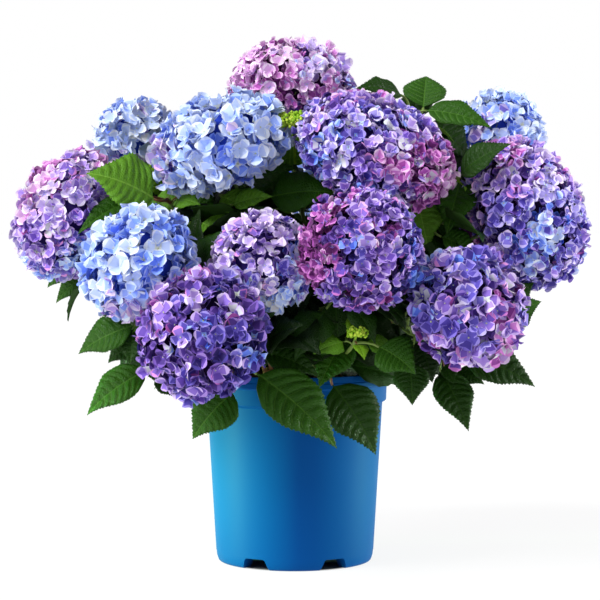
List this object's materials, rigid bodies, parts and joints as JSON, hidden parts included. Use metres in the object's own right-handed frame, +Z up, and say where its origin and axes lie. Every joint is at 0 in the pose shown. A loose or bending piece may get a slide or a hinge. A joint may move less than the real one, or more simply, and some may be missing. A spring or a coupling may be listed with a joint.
{
  "type": "potted hydrangea shrub",
  "caption": "Bigleaf hydrangea in flower in a round blue nursery pot, with round heads of blue, violet and pink flowers over broad green leaves.",
  "frame": {"origin": "middle of the flat pad under the pot", "axes": "+Z up along the pot; the side with the most leaves set by hand faces -Y"},
  "size_m": [0.6527, 0.6087, 0.6039],
  "materials": {
    "pot_shell": "satin moulded",
    "potting_mix": "moist bark and peat",
    "cane_bark": "ridged bark",
    "foliage": "leaf, slightly glossy",
    "petals_sky": "petal",
    "petals_lilac": "petal",
    "petals_rose": "petal",
    "petals_violet": "petal"
  },
  "bodies": {
    "root": {"pot": "pot_shell", "potting_soil": "potting_mix", "cane_1": "cane_bark", "cane_2": "cane_bark", "cane_3": "cane_bark", "cane_4": "cane_bark", "cane_5": "cane_bark", "cane_6": "cane_bark", "cane_7": "cane_bark", "cane_8": "cane_bark", "leaf_spray_01": "foliage", "leaf_spray_02": "foliage", "leaf_spray_03": "foliage", "leaf_spray_04": "foliage", "leaf_spray_05": "foliage", "leaf_spray_06": "foliage", "leaf_spray_07": "foliage", "leaf_spray_08": "foliage", "leaf_spray_09": "foliage", "leaf_spray_10": "foliage", "leaf_spray_11": "foliage", "leaf_spray_12": "foliage", "leaf_spray_13": "foliage", "leaf_spray_14": "foliage", "leaf_spray_15": "foliage", "leaf_spray_16": "foliage", "leaf_spray_17": "foliage", "leaf_spray_18": "foliage", "leaf_spray_19": "foliage", "leaf_spray_20": "foliage", "leaf_spray_21": "foliage", "leaf_spray_22": "foliage", "leaf_spray_23": "foliage", "leaf_spray_24": "foliage", "leaf_spray_25": "foliage", "flower_head_01": "petals_lilac", "flower_head_02": "petals_sky", "flower_head_03": "petals_sky", "flower_head_04": "petals_rose", "flower_head_05": "petals_lilac", "flower_head_06": "petals_sky", "flower_head_07": "petals_violet", "flower_head_08": "petals_sky", "flower_head_09": "petals_lilac", "flower_head_10": "petals_violet", "flower_head_11": "petals_violet", "flower_head_12": "petals_violet", "flower_head_13": "petals_lilac", "flower_head_14": "petals_sky", "flower_head_15": "petals_violet", "flower_head_16": "petals_sky", "flower_head_17": "petals_violet"}
  },
  "joints": []
}
